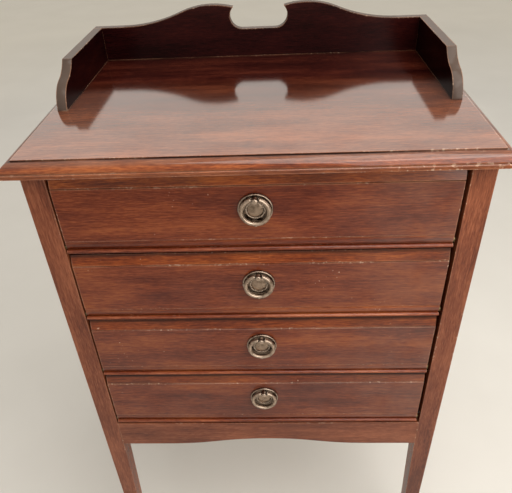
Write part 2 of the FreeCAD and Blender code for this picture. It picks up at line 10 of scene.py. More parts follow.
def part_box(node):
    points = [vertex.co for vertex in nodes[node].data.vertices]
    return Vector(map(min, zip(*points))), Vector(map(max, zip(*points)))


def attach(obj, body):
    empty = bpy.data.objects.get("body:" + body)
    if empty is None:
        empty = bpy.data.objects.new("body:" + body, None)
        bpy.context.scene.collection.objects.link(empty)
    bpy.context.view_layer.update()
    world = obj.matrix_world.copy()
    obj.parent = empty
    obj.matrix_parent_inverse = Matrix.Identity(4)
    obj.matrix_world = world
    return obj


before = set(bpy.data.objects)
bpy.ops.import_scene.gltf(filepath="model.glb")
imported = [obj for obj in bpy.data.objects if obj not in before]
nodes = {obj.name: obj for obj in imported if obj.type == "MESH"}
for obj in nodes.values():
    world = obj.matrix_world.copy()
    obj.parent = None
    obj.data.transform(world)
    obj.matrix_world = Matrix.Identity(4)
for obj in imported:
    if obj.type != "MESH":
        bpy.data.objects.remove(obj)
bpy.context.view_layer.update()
DRAWERS = [f"drawer_{number}" for number in range(1, 5)]
MM = 0.001

# Camera, fitted to the photograph's edges
PICTURE_WIDTH = 512
FOCAL_PIXELS = 543.0
CAMERA_PLACE = Vector((0.0242, -0.6674, 1.0441))
CAMERA_YAW = 1.72
CAMERA_PITCH = 35.71
CAMERA_ROLL = 1.29
SENSOR = 36.0
NEAREST_SEEN = 0.01

# Wood tones, dark to light; some are painted light or painted shade, as marked
MAHOGANY = ((0.076, 0.0100, 0.003), (0.156, 0.028, 0.008), (0.258, 0.063, 0.016))
TOP_MAHOGANY = ((0.090, 0.018, 0.006), (0.190, 0.049, 0.016), (0.315, 0.096, 0.034))
# Painted shade and painted dark reflection on the top near the gallery
TOP_PAINTED_SHADE = ((0.012, 0.0016, 0.0012), (0.029, 0.0045, 0.003), (0.070, 0.014, 0.007))
LEG_MAHOGANY = ((0.092, 0.021, 0.009), (0.180, 0.048, 0.020), (0.290, 0.092, 0.042))
# Painted light, high up on the right leg
LEG_PAINTED_LIGHT = ((0.124, 0.032, 0.015), (0.243, 0.070, 0.031), (0.390, 0.132, 0.062))
# Painted shade on the gallery's inner faces, darkest on its sides
GALLERY_SHADE = ((0.007, 0.0010, 0.0010), (0.017, 0.0022, 0.0022), (0.034, 0.0055, 0.004))
GALLERY_SIDE_SHADE = ((0.004, 0.0006, 0.0006), (0.009, 0.0012, 0.0012), (0.018, 0.0030, 0.002))
DRAWER_WOOD = ((0.26, 0.14, 0.06), (0.40, 0.24, 0.11), (0.52, 0.34, 0.18))
PINE = ((0.30, 0.16, 0.065), (0.46, 0.28, 0.13), (0.58, 0.39, 0.21))
# Painted light on leaning faces: the top's moulding, the fronts' strips and the nosing beads
LIT_MOULDING = ((0.085, 0.014, 0.004), (0.215, 0.043, 0.010), (0.42, 0.112, 0.026))
LIT_STRIP = ((0.105, 0.014, 0.0025), (0.255, 0.050, 0.006), (0.46, 0.118, 0.016))
LIT_NOSING = ((0.095, 0.017, 0.006), (0.255, 0.066, 0.028), (0.46, 0.15, 0.070))

# Colours of wear and age, with a painted highlight on rubbed edges, painted shade and painted sheen
# Rubbed wood, partly a painted highlight
RUBBED_WOOD_AND_HIGHLIGHT = (0.48, 0.23, 0.13)
BARE_WOOD = (0.66, 0.46, 0.32)
WORN_EDGE = (0.095, 0.066, 0.052)
# Dirt, and painted shade in corners, under the nosings and along the step
POLISH_DIRT_AND_SHADE = (0.012, 0.004, 0.003)
# Painted sheen
PAINTED_SHEEN = (0.21, 0.21, 0.19)

# Metal tones: dark, middle and rubbed bright, the bright one partly a painted highlight
ANTIQUE_BRASS = ((0.168, 0.120, 0.088), (0.362, 0.268, 0.200), (0.92, 0.81, 0.69))
RUBBED_BRASS = ((0.270, 0.200, 0.152), (0.505, 0.392, 0.305), (0.92, 0.81, 0.69))
BRASS = ((0.06, 0.042, 0.02), (0.13, 0.09, 0.042), (0.17, 0.12, 0.058))
STEEL = ((0.20, 0.19, 0.18), (0.42, 0.41, 0.40), (0.62, 0.61, 0.60))

# Grain: size of each pattern along and across it, shares of the first four, and where the tones lie
FIGURE = (0.22, 0.028)
PATCHES = (0.13, 0.026)
STREAKS = (0.030, 0.0018)
FINE_STREAKS = (0.010, 0.0009)
PORES = (0.012, 0.0005)
GRAIN_SHARES = (0.20, 0.26, 0.26, 0.28)
TONE_STOPS = (0.41, 0.50, 0.59)
DARK_PORES = (0.58, 0.72)
WORN_AND_LIT_PATCHES = (0.05, 0.02)
SMUDGES = (0.10, 0.02)

# Samples of the edge and recess masks
MASK_SAMPLES = 6

# Where masks begin and where they are full: cosines, openness and how faces look
EDGE_LIKENESS = (0.99, 0.91)
RECESS_OPENNESS = (0.85, 0.40)
OFF_UPRIGHT = (0.10, 0.30)
OFF_LEVEL = (0.80, 0.45)
LEVEL_FACE = (0.6, 0.9)
NARROW_FACE = (0.7, 0.4)
OUTSIDE_FACE = (0.08, 0.13)

# Where masks begin and where they are full: places in metres
LOWER_DRAWERS = (0.75, 0.45)
BRIGHT_SIDE = (0.06, 0.20)
UPPER_LIT_HEIGHT = (0.58, 0.74)
TOP_FRONT = (0.05, -0.15)
TOP_BACK = (-0.18, 0.07)
UPPER_EDGE_SHADE = (4.5 * MM, 1.5 * MM)
STEP_START = (0.2 * MM, 0.7 * MM)
STEP_END = (2.0 * MM, 1.4 * MM)

# Share of its radius within which a round mask is full
NEAR_CORE = 0.6

# Reach of wear and painted highlight from edges, of dirt and painted shade from corners, and places of
# chips with their radius
RUBBED_AND_HIGHLIGHT_REACH = 2.0 * MM
CHIP_REACH = 5.0 * MM
DIRT_AND_SHADE_REACH = 2.0 * MM
PLAIN_WOOD_REACH = 15.0 * MM
METAL_REACH = 0.7 * MM
TOP_CHIPS = ((0.21, -0.18, 0.785), 0.08)
LEG_CHIPS = ((0.25, -0.165, 0.53), 0.06)

# Strength of wear, painted highlight, painted light, painted sheen, painted shade and dirt where they are
# full
PORE_SHARE = 0.4
PORE_DEPTH = 0.5
RUBBED_AND_HIGHLIGHT_SHARE = 0.55
NICK_SHARE = 0.9
CHIP_SHARE = 0.75
PAINTED_SHADE_SHARE = 0.95
FIRST_DRAWER_SHADE = 0.5
SMUDGE_SHARE = 0.5
STRIP_FADE = 0.75
KNOCK_SHARE = 0.5
NARROW_SHARE = 0.85
LOWER_SHEEN = 0.085
BRIGHT_SIDE_SHEEN = 0.095
UPPER_LIT_SHEEN = 0.10
TOP_SHEEN = 0.16
STAIN_SHARE = 0.4
PLAIN_WOOD_DUST_AND_SHADE = 0.85
METAL_RUBBED_AND_HIGHLIGHT_SHARE = 0.85
METAL_PATINA_AND_SHADE = 0.92

# Noise values: where a roughness would be nought and one, the middle, and where metal tones lie
POLISH_ROUGHNESS = (-0.6, 2.2)
PLAIN_ROUGHNESS = (-1.2, 1.3)
NOISE_MIDDLE = 0.5
CLOUD_STOPS = (0.3, 0.6)


# Shader nodes
def new_tree(name):
    """A material with its node tree and its shader."""
    material = bpy.data.materials.new(name)
    material.use_nodes = True
    tree = material.node_tree
    return material, tree, tree.nodes["Principled BSDF"]


def feed(tree, socket, value):
    """Link a socket or set its plain value."""
    if isinstance(value, bpy.types.NodeSocket):
        tree.links.new(value, socket)
    else:
        socket.default_value = value


def node(tree, kind, inputs, **settings):
    """Add a node with its settings and inputs, which are sockets or plain values by name or number."""
    made = tree.nodes.new(f"ShaderNode{kind}")
    for key, value in settings.items():
        setattr(made, key, value)
    for key, value in inputs.items():
        feed(tree, made.inputs[key], value)
    return made


def calculate(tree, operation, first, *others):
    """Join values one after another by an operation, each a socket or a number."""
    result = first
    for other in others:
        result = node(tree, "Math", {0: result, 1: other}, operation=operation).outputs[0]
    return result


def product(tree, *values):
    """Multiply values, each a socket or a number."""
    return calculate(tree, "MULTIPLY", *values)


def total(tree, *values):
    """Add values, each a socket or a number."""
    return calculate(tree, "ADD", *values)


def join_vectors(tree, operation, first, second):
    """Join two vectors by an operation, and return the outputs."""
    return node(tree, "VectorMath", {0: first, 1: second}, operation=operation).outputs


def colour(rgb):
    """Three numbers as an opaque colour."""
    return (*rgb, 1.0)


def mix(tree, share, first, second):
    """Blend two colours, each a socket or three numbers."""
    made = tree.nodes.new("ShaderNodeMix")
    made.data_type = "RGBA"
    feed(tree, made.inputs["Factor"], share)
    for key, value in (("A", first), ("B", second)):
        socket = next(item for item in made.inputs if item.name == key and item.type == "RGBA")
        feed(tree, socket, colour(value) if isinstance(value, tuple) else value)
    return next(item for item in made.outputs if item.type == "RGBA")


def ramp(tree, value, stops, tones):
    """Turn a value into a colour by tones at stops from nought to one."""
    made = tree.nodes.new("ShaderNodeValToRGB")
    elements = made.color_ramp.elements
    while len(elements) < len(stops):
        elements.new(0.5)
    for element, stop, rgb in zip(elements, stops, tones):
        element.position = stop
        element.color = colour(rgb)
    feed(tree, made.inputs["Fac"], value)
    return made.outputs["Color"]


def between(tree, value, begins, full):
    """Map a value from where it begins to where it is full onto nought to one."""
    made = node(tree, "MapRange", {"Value": value, "From Min": begins, "From Max": full})
    return made.outputs["Result"]


# Places and patterns
def place(tree):
    """The place of a point in metres, at rest."""
    return node(tree, "TexCoord", {}).outputs["Object"]


def facing(tree):
    """The direction in which a face looks, at rest."""
    return node(tree, "TexCoord", {}).outputs["Normal"]


def part_along(tree, vector, axis):
    """The part of a vector along an axis."""
    return node(tree, "SeparateXYZ", {"Vector": vector}).outputs[axis]


def place_along(tree, axis):
    """The place of a point along an axis, in metres."""
    return part_along(tree, place(tree), axis)


def upward(tree):
    """How far a face leans back: nought upright, one level."""
    return part_along(tree, facing(tree), "Z")


def stretched(tree, axis, along, across):
    """Places in which one unit is this long along the grain and this wide across it."""
    scale = [1 / along if key == axis else 1 / across for key in "xyz"]
    return node(tree, "Mapping", {"Vector": place(tree), "Scale": scale}).outputs["Vector"]


def even(tree, size):
    """Places in which one unit is this long every way."""
    return stretched(tree, "x", size, size)


def noise(tree, vector, detail=2.0, roughness=0.5, distortion=0.0):
    """Cloudy noise from nought to one, about one unit in size."""
    shape = {"Detail": detail, "Roughness": roughness, "Distortion": distortion}
    return node(tree, "TexNoise", {"Vector": vector, "Scale": 1.0, **shape}).outputs["Fac"]


def spots(tree, places, begins, full, detail=2.0):
    """Spots about one unit in size, by the noise values at which they begin and are full."""
    return between(tree, noise(tree, places, detail=detail), begins, full)


# Masks
def edge_mask(tree, radius):
    """One on edges within this radius, nought on flat faces."""
    rounded = node(tree, "Bevel", {"Radius": radius}, samples=MASK_SAMPLES).outputs["Normal"]
    plain = node(tree, "NewGeometry", {}).outputs["Normal"]
    return between(tree, join_vectors(tree, "DOT_PRODUCT", rounded, plain)["Value"], *EDGE_LIKENESS)


def recess_mask(tree, reach):
    """One deep in corners and quirks, nought on open faces."""
    openness = node(tree, "AmbientOcclusion", {"Distance": reach}, samples=MASK_SAMPLES).outputs["AO"]
    return between(tree, openness, *RECESS_OPENNESS)


def near_mask(tree, point, radius):
    """One close to a point, nought from this radius on."""
    away = join_vectors(tree, "DISTANCE", place(tree), point)["Value"]
    return between(tree, away, radius, NEAR_CORE * radius)


def slope_mask(tree):
    """One on the lower curve of mouldings and on leaning strips, nought on upright and level faces."""
    leaning = between(tree, upward(tree), *OFF_UPRIGHT)
    return product(tree, leaning, between(tree, upward(tree), *OFF_LEVEL))


def level_mask(tree):
    """One on level faces."""
    return between(tree, upward(tree), *LEVEL_FACE)


def outside_mask(tree):
    """One on upright faces that look away from the middle of the cabinet."""
    level_place = join_vectors(tree, "MULTIPLY", place(tree), (1.0, 1.0, 0.0))["Vector"]
    away = join_vectors(tree, "DOT_PRODUCT", facing(tree), level_place)["Value"]
    return between(tree, away, *OUTSIDE_FACE)


def narrow_mask(tree, axis):
    """The narrow edges of a board whose broad faces look along an axis."""
    broad = node(tree, "Math", {0: part_along(tree, facing(tree), axis)}, operation="ABSOLUTE").outputs[0]
    return product(tree, between(tree, broad, *NARROW_FACE), NARROW_SHARE)


def back_board_edges(tree):
    """The narrow edges of the gallery's back."""
    return narrow_mask(tree, "Y")


def side_board_edges(tree):
    """The narrow edges of the gallery's sides."""
    return narrow_mask(tree, "X")


def lower_mask(tree):
    """Nought at the uppermost drawer and one at the lowest."""
    return between(tree, place_along(tree, "Z"), *LOWER_DRAWERS)


def bright_side_mask(tree):
    """Nought in the middle of the cabinet and one on its bright side, the right."""
    return between(tree, place_along(tree, "X"), *BRIGHT_SIDE)


def upper_lit_mask(tree):
    """High up on the bright side, where painted light brightens the wood."""
    return product(tree, bright_side_mask(tree), between(tree, place_along(tree, "Z"), *UPPER_LIT_HEIGHT))


def upper_edge_shade_mask(tree):
    """Painted shade along the upper edge of each drawer front, under the nosing above, most on the lower
    ones.
    """
    first_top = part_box("drawer_1_front")[1].z
    second_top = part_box("drawer_2_front")[1].z
    below_first = calculate(tree, "SUBTRACT", first_top, place_along(tree, "Z"))
    below = calculate(tree, "FLOORED_MODULO", below_first, first_top - second_top)
    strength = total(tree, product(tree, lower_mask(tree), 1 - FIRST_DRAWER_SHADE), FIRST_DRAWER_SHADE)
    return product(tree, between(tree, below, *UPPER_EDGE_SHADE), strength)


def step_shade_mask(tree):
    """Painted shade along the small upright step around the top, where its moulding begins, stronger here
    and there.
    """
    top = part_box("top_board")[1].z
    down = calculate(tree, "SUBTRACT", top, place_along(tree, "Z"))
    line = product(tree, between(tree, down, *STEP_START), between(tree, down, *STEP_END))
    return product(tree, line, spots(tree, even(tree, 70 * MM), begins=0.25, full=0.6))


def lit_strip_mask(tree):
    """Painted light on the leaning strips along the tops of the fronts, fainter on the lower drawers."""
    strength = calculate(tree, "SUBTRACT", 1.0, product(tree, lower_mask(tree), STRIP_FADE))
    return product(tree, slope_mask(tree), strength)


def smudge_mask(tree):
    """Dark smudges along the leaning strips."""
    smudges = spots(tree, stretched(tree, "x", *SMUDGES), begins=0.48, full=0.68, detail=3.0)
    return product(tree, slope_mask(tree), smudges, SMUDGE_SHARE)


def sheen_patches(tree):
    """Soft patches over most of a surface."""
    return spots(tree, even(tree, 50 * MM), begins=0.1, full=0.6, detail=3.0)


def front_sheen_mask(tree):
    """Painted sheen in soft patches, most on the lower drawers and on the bright side."""
    low = product(tree, lower_mask(tree), LOWER_SHEEN)
    right = product(tree, bright_side_mask(tree), BRIGHT_SIDE_SHEEN)
    upper_lit = product(tree, upper_lit_mask(tree), UPPER_LIT_SHEEN)
    return product(tree, total(tree, low, right, upper_lit), sheen_patches(tree))


def top_sheen_mask(tree):
    """Painted sheen on the level face of the top, towards its front."""
    front = between(tree, place_along(tree, "Y"), *TOP_FRONT)
    return product(tree, front, level_mask(tree), sheen_patches(tree), TOP_SHEEN)


def gallery_shade_mask(tree):
    """On the level face of the top: nought at its front and one near the gallery, where it gets painted
    shade and a painted dark reflection of the gallery.
    """
    return product(tree, between(tree, place_along(tree, "Y"), *TOP_BACK), level_mask(tree))


def knock_mask(tree):
    """A few small pale knocks."""
    dots = spots(tree, even(tree, 2.5 * MM), begins=0.80, full=0.84, detail=0.0)
    groups = spots(tree, even(tree, 70 * MM), begins=0.57, full=0.64, detail=1.0)
    return product(tree, dots, groups, KNOCK_SHARE)


# Woods
def grain_values(tree, grain):
    """The grain as one value, its pores and its streaks."""
    figure = noise(tree, stretched(tree, grain, *FIGURE), detail=3.0, distortion=0.6)
    patches = noise(tree, stretched(tree, grain, *PATCHES), detail=3.0)
    streaks = noise(tree, stretched(tree, grain, *STREAKS), detail=4.0, roughness=0.65, distortion=0.2)
    fine = noise(tree, stretched(tree, grain, *FINE_STREAKS), detail=2.0, roughness=0.7)
    pores = noise(tree, stretched(tree, grain, *PORES), detail=1.0)
    patterns = zip((figure, patches, streaks, fine), GRAIN_SHARES)
    values = [product(tree, pattern, share) for pattern, share in patterns]
    return total(tree, *values), pores, streaks


def grain_colour(tree, figure, pores, tones):
    """Tones from dark to light by the figure, with dark pores."""
    shade = ramp(tree, figure, TONE_STOPS, tones)
    return mix(tree, product(tree, between(tree, pores, *DARK_PORES), PORE_SHARE), shade, tones[0])


def polished_wood(name, grain, tones, coat=0.65, coat_roughness=0.12, dirt_and_shade=0.5, layers=(), painted_shade=None,
                  chipped=None):
    """French-polished wood: grain under a glossy coat, rubbed edges with a painted highlight, pale chips,
    and corners darkened by dirt and painted shade.

    Each layer over the grain is a mask and the tones or the one colour that it brings.
    """
    material, tree, shader = new_tree(name)
    figure, pores, streaks = grain_values(tree, grain)
    shade = grain_colour(tree, figure, pores, tones)
    for mask, brought in layers:
        if isinstance(brought[0], tuple):
            brought = grain_colour(tree, figure, pores, brought)
        shade = mix(tree, mask(tree), shade, brought)
    # Rubbed edges, partly a painted highlight along the arrises
    edges = edge_mask(tree, RUBBED_AND_HIGHLIGHT_REACH)
    worn_and_lit = spots(tree, stretched(tree, grain, *WORN_AND_LIT_PATCHES), begins=0.32, full=0.56, detail=3.0)
    shade = mix(tree, product(tree, edges, worn_and_lit, RUBBED_AND_HIGHLIGHT_SHARE), shade, RUBBED_WOOD_AND_HIGHLIGHT)
    nicks = spots(tree, even(tree, 4 * MM), begins=0.56, full=0.64)
    groups = spots(tree, even(tree, 60 * MM), begins=0.48, full=0.60)
    shade = mix(tree, product(tree, edges, nicks, groups, NICK_SHARE), shade, BARE_WOOD)
    if chipped:
        chips = product(tree, edge_mask(tree, CHIP_REACH), nicks, near_mask(tree, *chipped), CHIP_SHARE)
        shade = mix(tree, chips, shade, BARE_WOOD)
    # Dirt and painted shade in corners and quirks, by how closed in they are
    shade = mix(tree, product(tree, recess_mask(tree, DIRT_AND_SHADE_REACH), dirt_and_shade), shade, POLISH_DIRT_AND_SHADE)
    # Painted shade along a line that a mask gives
    if painted_shade:
        shade = mix(tree, product(tree, painted_shade(tree), PAINTED_SHADE_SHARE), shade, POLISH_DIRT_AND_SHADE)
    feed(tree, shader.inputs["Base Color"], shade)
    smears = noise(tree, even(tree, 50 * MM), detail=3.0)
    feed(tree, shader.inputs["Roughness"], between(tree, smears, *POLISH_ROUGHNESS))
    height = total(tree, product(tree, pores, PORE_DEPTH), streaks)
    bump = node(tree, "Bump", {"Height": height, "Strength": 0.08, "Distance": 0.4 * MM})
    feed(tree, shader.inputs["Normal"], bump.outputs["Normal"])
    ripple = node(tree, "Bump", {"Height": streaks, "Strength": 0.04, "Distance": 0.4 * MM})
    feed(tree, shader.inputs["Coat Normal"], ripple.outputs["Normal"])
    shader.inputs["Specular IOR Level"].default_value = 0.0
    shader.inputs["Coat Weight"].default_value = coat
    shader.inputs["Coat Roughness"].default_value = coat_roughness
    return material


def plain_wood(name, grain, tones):
    """Sanded, unpolished wood for the back and for what is hidden until a drawer opens."""
    material, tree, shader = new_tree(name)
    figure, pores, streaks = grain_values(tree, grain)
    shade = grain_colour(tree, figure, pores, tones)
    stains = spots(tree, even(tree, 90 * MM), begins=0.45, full=0.75, detail=4.0)
    shade = mix(tree, product(tree, stains, STAIN_SHARE), shade, tones[0])
    # Dust and painted shade in corners
    dust_and_shade = product(tree, recess_mask(tree, PLAIN_WOOD_REACH), PLAIN_WOOD_DUST_AND_SHADE)
    shade = mix(tree, dust_and_shade, shade, POLISH_DIRT_AND_SHADE)
    feed(tree, shader.inputs["Base Color"], shade)
    feed(tree, shader.inputs["Roughness"], between(tree, streaks, *PLAIN_ROUGHNESS))
    bump = node(tree, "Bump", {"Height": pores, "Strength": 0.2, "Distance": 0.3 * MM})
    feed(tree, shader.inputs["Normal"], bump.outputs["Normal"])
    return material


# Metals
def metal(name, tones, evenness, hollows=4 * MM):
    """Aged metal: dark in the hollows by patina and painted shade, rubbed bright on the edges with a
    painted highlight, with fine pits.

    Its roughness is about a third, and differs more from place to place where evenness is low.
    """
    material, tree, shader = new_tree(name)
    dark, middle, bright = tones
    clouds = noise(tree, even(tree, 5 * MM), detail=4.0, roughness=0.6)
    shade = ramp(tree, clouds, CLOUD_STOPS, (dark, middle))
    # Rubbed bright edges, partly a painted highlight
    shade = mix(tree, product(tree, edge_mask(tree, METAL_REACH), METAL_RUBBED_AND_HIGHLIGHT_SHARE), shade, bright)
    # Patina and painted shade in the hollows
    shade = mix(tree, product(tree, recess_mask(tree, hollows), METAL_PATINA_AND_SHADE), shade, POLISH_DIRT_AND_SHADE)
    feed(tree, shader.inputs["Base Color"], shade)
    roughness = between(tree, clouds, NOISE_MIDDLE - evenness, NOISE_MIDDLE + 2 * evenness)
    feed(tree, shader.inputs["Roughness"], roughness)
    pits = noise(tree, even(tree, 1.2 * MM), detail=3.0)
    bump = node(tree, "Bump", {"Height": pits, "Strength": 0.15, "Distance": 0.2 * MM})
    feed(tree, shader.inputs["Normal"], bump.outputs["Normal"])
    shader.inputs["Metallic"].default_value = 1.0
    return material


antique_brass = metal("antique_brass", ANTIQUE_BRASS, evenness=0.22)
rubbed_brass = metal("rubbed_brass", RUBBED_BRASS, evenness=0.18, hollows=1 * MM)
brass = metal("brass", BRASS, evenness=0.35)
steel = metal("steel", STEEL, evenness=0.4)

# Materials by node, without the drawer's number
PAINT = {
    # Top: painted shade near the gallery, painted sheen towards the front, painted light on the
    # moulding's curve, painted shade along the step
    "top_board": polished_wood(
        "top_mahogany", "x", TOP_MAHOGANY, coat=1.0, coat_roughness=0.09, dirt_and_shade=0.9, painted_shade=step_shade_mask,
        layers=((gallery_shade_mask, TOP_PAINTED_SHADE), (top_sheen_mask, PAINTED_SHEEN), (slope_mask, LIT_MOULDING)),
        chipped=TOP_CHIPS),
    # Gallery: painted shade on the inner faces, plain mahogany outside
    "gallery_back": polished_wood(
        "gallery_mahogany_x", "x", GALLERY_SHADE, coat=0.3, coat_roughness=0.2,
        layers=((outside_mask, MAHOGANY), (back_board_edges, WORN_EDGE))),
    "gallery_left_side": polished_wood(
        "gallery_mahogany_y", "y", GALLERY_SIDE_SHADE, coat=0.3, coat_roughness=0.2,
        layers=((outside_mask, MAHOGANY), (side_board_edges, WORN_EDGE))),
    # Legs: painted light high up on the right
    "front_left_leg": polished_wood(
        "leg_mahogany", "z", LEG_MAHOGANY, coat_roughness=0.2, layers=((upper_lit_mask, LEG_PAINTED_LIGHT),),
        chipped=LEG_CHIPS),
    "left_side_panel": polished_wood("panel_mahogany", "z", MAHOGANY, coat_roughness=0.18),
    "apron": polished_wood("apron_mahogany", "x", LEG_MAHOGANY, coat_roughness=0.2),
    # Fronts: painted light on the strips, painted sheen, and painted shade under each nosing
    "front": polished_wood(
        "front_mahogany", "x", MAHOGANY, coat_roughness=0.15, painted_shade=upper_edge_shade_mask,
        layers=((lit_strip_mask, LIT_STRIP), (smudge_mask, POLISH_DIRT_AND_SHADE), (front_sheen_mask, PAINTED_SHEEN),
                (knock_mask, BARE_WOOD))),
    # Nosing: painted light on the upward-leaning bead
    "nosing": polished_wood(
        "nosing_mahogany", "x", MAHOGANY, coat_roughness=0.15, dirt_and_shade=0.15, layers=((slope_mask, LIT_NOSING),)),
    "back_panel": plain_wood("panel_pine", "x", PINE),
    "kickers": plain_wood("runner_pine", "y", PINE),
    "left_side": plain_wood("drawer_wood_y", "y", DRAWER_WOOD),
    "back": plain_wood("drawer_wood_x", "x", DRAWER_WOOD),
    "pivot_plates": brass,
    "pull_plate": antique_brass,
    "pull_bolt": steel,
}

# Nodes that share another node's material
SAME_PAINT = {
    "gallery_right_side": "gallery_left_side",
    "front_right_leg": "front_left_leg",
    "back_left_leg": "front_left_leg",
    "back_right_leg": "front_left_leg",
    "right_side_panel": "left_side_panel",
    "front_top_rail": "back_panel",
    "back_top_rail": "back_panel",
    "drawer_runners": "kickers",
    "drawer_stops": "kickers",
    "right_side": "left_side",
    "bottom": "back",
    "pull_ring": "pull_plate",
}


def paint(name):
    """The material of a node, by its name without the drawer's number."""
    key = name
    for drawer in DRAWERS:
        key = key.removeprefix(f"{drawer}_")
    return PAINT[SAME_PAINT.get(key, key)]


# Softened edges: width and steps of each bevel
BEVELS = {"ring": (0.9 * MM, 3), "metal": (0.55 * MM, 2), "wood": (0.45 * MM, 2)}
SHARP_ANGLE = math.radians(25)
WELD_REACH = 0.005 * MM


def bevel_kind(name):
    """Which bevel a node gets."""
    if name.endswith("ring"):
        return "ring"
    if name.endswith(("plate", "plates", "bolt")):
        return "metal"
    return "wood"


def soften(piece, width, segments):
    """Join the faces of a node and round its edges a little."""
    weld = piece.modifiers.new("weld", "WELD")
    weld.merge_threshold = WELD_REACH
    bevel = piece.modifiers.new("bevel", "BEVEL")
    bevel.width = width
    bevel.segments = segments
    bevel.limit_method = "ANGLE"
    bevel.angle_limit = SHARP_ANGLE
    bevel.harden_normals = True


for name, piece in nodes.items():
    for slot in piece.material_slots:
        slot.material = paint(name)
    soften(piece, *BEVELS[bevel_kind(name)])


# Small trim
def hand_in(name, mesh, material, body):
    """Turn a finished mesh into a piece that moves with a body."""
    data = bpy.data.meshes.new(name)
    mesh.to_mesh(data)
    mesh.free()
    data.shade_smooth()
    data.materials.append(material)
    piece = bpy.data.objects.new(name, data)
    bpy.context.scene.collection.objects.link(piece)
    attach(piece, body)


def add_crown(mesh, middle, radius, half_width, half_height, half_opening, turns=72, sides=16):
    """An oval bead along a ring that faces the viewer, closed all round or open at the top."""
    rows = []
    for step in range(turns + 1 if half_opening else turns):
        angle = half_opening + (math.tau - 2 * half_opening) * step / turns
        outward = Vector((math.sin(angle), 0, math.cos(angle)))
        row = []
        for side in range(sides):
            turn = math.tau * side / sides
            across = outward * half_width * math.cos(turn) + Vector((0, half_height * math.sin(turn), 0))
            row.append(mesh.verts.new(middle + outward * radius + across))
        rows.append(row)
    pairs = list(zip(rows, rows[1:]))
    if half_opening:
        mesh.faces.new(rows[0])
        mesh.faces.new(reversed(rows[-1]))
    else:
        pairs.append((rows[-1], rows[0]))
    for first, second in pairs:
        for side in range(sides):
            after = (side + 1) % sides
            mesh.faces.new((first[side], second[side], second[after], first[after]))


def add_dome(mesh, foot, outward, radius, height, levels=3, sides=12):
    """A low round head that stands on a surface."""
    outward = Vector(outward)
    across = outward.orthogonal().normalized()
    beside = outward.cross(across)
    rows = []
    for level in range(levels):
        rise = math.pi / 2 * level / levels
        row = []
        for side in range(sides):
            turn = math.tau * side / sides
            reach = (across * math.cos(turn) + beside * math.sin(turn)) * radius * math.cos(rise)
            row.append(mesh.verts.new(foot + reach + outward * height * math.sin(rise)))
        rows.append(row)
    tip = mesh.verts.new(foot + outward * height)
    for side in range(sides):
        after = (side + 1) % sides
        for first, second in zip(rows, rows[1:]):
            mesh.faces.new((first[side], first[after], second[after], second[side]))
        mesh.faces.new((rows[-1][side], rows[-1][after], tip))
    mesh.faces.new(reversed(rows[0]))


# Sizes of the pulls' solids, on which the trim lies
RIM_WIDTH = 1.5 * MM
RIM_HEIGHT = 2.2 * MM
RING_WIDTH = 4.6 * MM
RING_THICK = 3.2 * MM
BOSS_HEIGHT = 3.4 * MM
DISH_DEPTH = 0.9 * MM
LUG_HEIGHT = 13.8 * MM

# Sizes of the trim itself
RIM_CROWN = 0.7 * MM
RING_OPENING = math.radians(16)
CROWN_WIDTH = 3.3 * MM
CROWN_HEIGHT = 1.0 * MM
CROWN_SINK = 0.9 * MM
NIB = 1.9 * MM
NIB_HEIGHT = 1.9 * MM
NIB_SINK = 0.6 * MM
BOSS_BEADS = 30
BOSS_BEAD_CIRCLE = 10.2 * MM
BOSS_BEAD = 0.75 * MM
DOME_RADIUS = 9.5 * MM
DOME_HEIGHT = 2.0 * MM
LUG_CAP = 2.8 * MM
LUG_CAP_HEIGHT = 1.2 * MM
PIN_HEAD = 1.5 * MM
PIN_HEAD_HEIGHT = 0.3 * MM
PIN_PLACES = (0.35, 0.85)
FORWARD = (0, -1, 0)
DOWN = (0, 0, -1)


def make_ring_crown(drawer):
    """A rounded front along the ring, and a small nib at its foot."""
    low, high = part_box(f"{drawer}_pull_ring")
    outer = (high.x - low.x) / 2
    middle = Vector(((low.x + high.x) / 2, low.y + CROWN_SINK, low.z + outer))
    mesh = bmesh.new()
    add_crown(mesh, middle, radius=outer - RING_WIDTH / 2, half_width=CROWN_WIDTH / 2,
              half_height=CROWN_HEIGHT + CROWN_SINK, half_opening=RING_OPENING)
    foot = Vector((middle.x, low.y + RING_THICK / 2, low.z + NIB_SINK))
    add_dome(mesh, foot, DOWN, NIB, NIB_HEIGHT, levels=4)
    hand_in(f"{drawer}_ring_crown", mesh, rubbed_brass, f"{drawer}_ring")


def make_plate_trim(drawer):
    """A dome in the dish of the boss, and as one piece its beads, a cap on the lug and a rounded rim."""
    low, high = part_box(f"{drawer}_pull_plate")
    middle = (low + high) / 2
    middle.y = high.y - BOSS_HEIGHT
    mesh = bmesh.new()
    dish = middle + Vector((0, DISH_DEPTH, 0))
    add_dome(mesh, dish, FORWARD, DOME_RADIUS, DOME_HEIGHT, levels=8, sides=48)
    hand_in(f"{drawer}_boss_dome", mesh, antique_brass, f"{drawer}_fall_front")
    mesh = bmesh.new()
    for number in range(BOSS_BEADS):
        angle = math.tau * number / BOSS_BEADS
        foot = middle + Vector((math.sin(angle), 0, math.cos(angle))) * BOSS_BEAD_CIRCLE
        add_dome(mesh, foot, FORWARD, BOSS_BEAD, BOSS_BEAD)
    lug_front = Vector((middle.x, low.y, middle.z + LUG_HEIGHT))
    add_dome(mesh, lug_front, FORWARD, LUG_CAP, LUG_CAP_HEIGHT, levels=6, sides=24)
    middle.y = high.y - RIM_HEIGHT
    add_crown(mesh, middle, radius=(high.x - low.x - RIM_WIDTH) / 2, half_width=RIM_WIDTH / 2,
              half_height=RIM_CROWN, half_opening=0)
    hand_in(f"{drawer}_plate_trim", mesh, rubbed_brass, f"{drawer}_fall_front")


